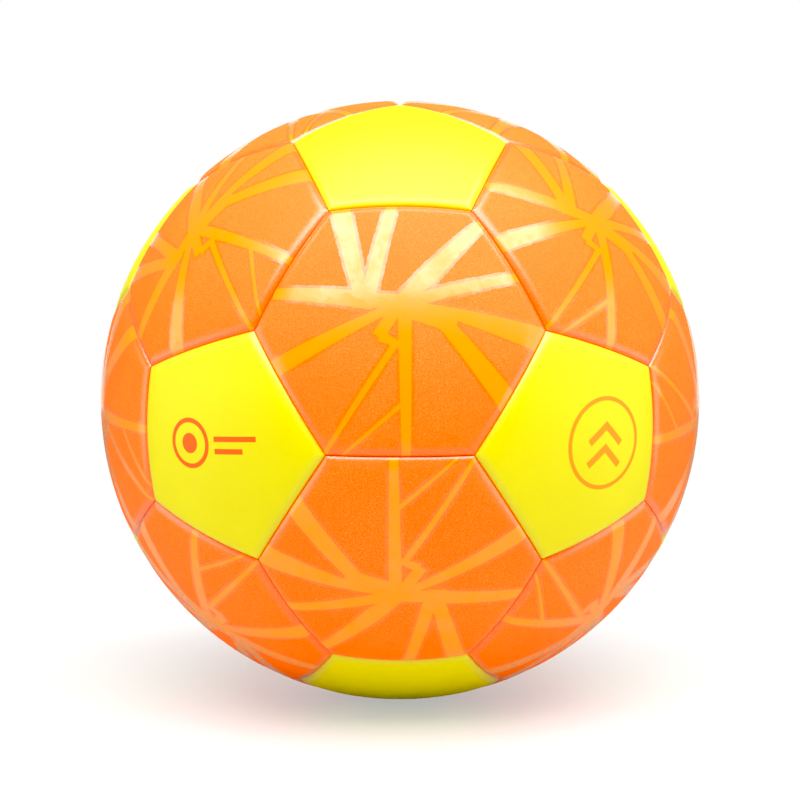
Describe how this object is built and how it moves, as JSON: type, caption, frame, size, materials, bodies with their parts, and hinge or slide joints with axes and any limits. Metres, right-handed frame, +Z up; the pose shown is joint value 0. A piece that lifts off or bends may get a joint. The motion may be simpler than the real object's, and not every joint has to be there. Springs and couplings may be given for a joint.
{
  "type": "soccer ball",
  "caption": "Inflated soccer ball of glued hexagon and pentagon panels over a foam, rubber and thread carcass, with a bladder and a push-in valve.",
  "frame": {"origin": "centre of the ball", "axes": "+Z up, -Y towards the front, where a hexagon sits 12 degrees above the horizon; the panel pattern mirrors in the plane X = 0"},
  "size_m": [0.2188, 0.2196, 0.2186],
  "materials": {
    "hexagon_skin": "printed matt synthetic leather, fine grain, with glossy ink rays",
    "pentagon_skin": "satin synthetic leather, fine grain",
    "panel_foam": "closed-cell foam",
    "carcass_rubber": "moulded rubber",
    "nylon_thread": "wound nylon yarn",
    "bladder_rubber": "dusted butyl rubber",
    "patch_rubber": "moulded rubber",
    "valve_rubber": "moulded rubber",
    "core_rubber": "satin silicone rubber"
  },
  "bodies": {
    "ball": {"hexagon_panel_01": "hexagon_skin", "hexagon_panel_02": "hexagon_skin", "hexagon_panel_03": "hexagon_skin", "hexagon_panel_04": "hexagon_skin", "hexagon_panel_05": "hexagon_skin", "hexagon_panel_06": "hexagon_skin", "hexagon_panel_07": "hexagon_skin", "hexagon_panel_08": "hexagon_skin", "hexagon_panel_09": "hexagon_skin", "hexagon_panel_10": "hexagon_skin", "hexagon_panel_11": "hexagon_skin", "hexagon_panel_12": "hexagon_skin", "hexagon_panel_13": "hexagon_skin", "hexagon_panel_14": "hexagon_skin", "hexagon_panel_15": "hexagon_skin", "hexagon_panel_16": "hexagon_skin", "hexagon_panel_17": "hexagon_skin", "hexagon_panel_18": "hexagon_skin", "hexagon_panel_19": "hexagon_skin", "hexagon_panel_20": "hexagon_skin", "pentagon_panel_01": "pentagon_skin", "pentagon_panel_02": "pentagon_skin", "pentagon_panel_03": "pentagon_skin", "pentagon_panel_04": "pentagon_skin", "pentagon_panel_05": "pentagon_skin", "pentagon_panel_06": "pentagon_skin", "pentagon_panel_07": "pentagon_skin", "pentagon_panel_08": "pentagon_skin", "pentagon_panel_09": "pentagon_skin", "pentagon_panel_10": "pentagon_skin", "pentagon_panel_11": "pentagon_skin", "pentagon_panel_12": "pentagon_skin", "hexagon_foam_backings": "panel_foam", "pentagon_foam_backings": "panel_foam", "rubber_carcass": "carcass_rubber", "thread_winding": "nylon_thread", "bladder": "bladder_rubber", "valve_patch": "patch_rubber", "valve_housing": "valve_rubber", "balance_patch": "patch_rubber"},
    "valve_core": {"valve_core": "core_rubber"}
  },
  "joints": [
    {"name": "valve_core_pull", "type": "slide", "parent": "ball", "child": "valve_core", "axis": [0, 0.8686, 0.4955], "range_m": [0, 0.025]}
  ]
}
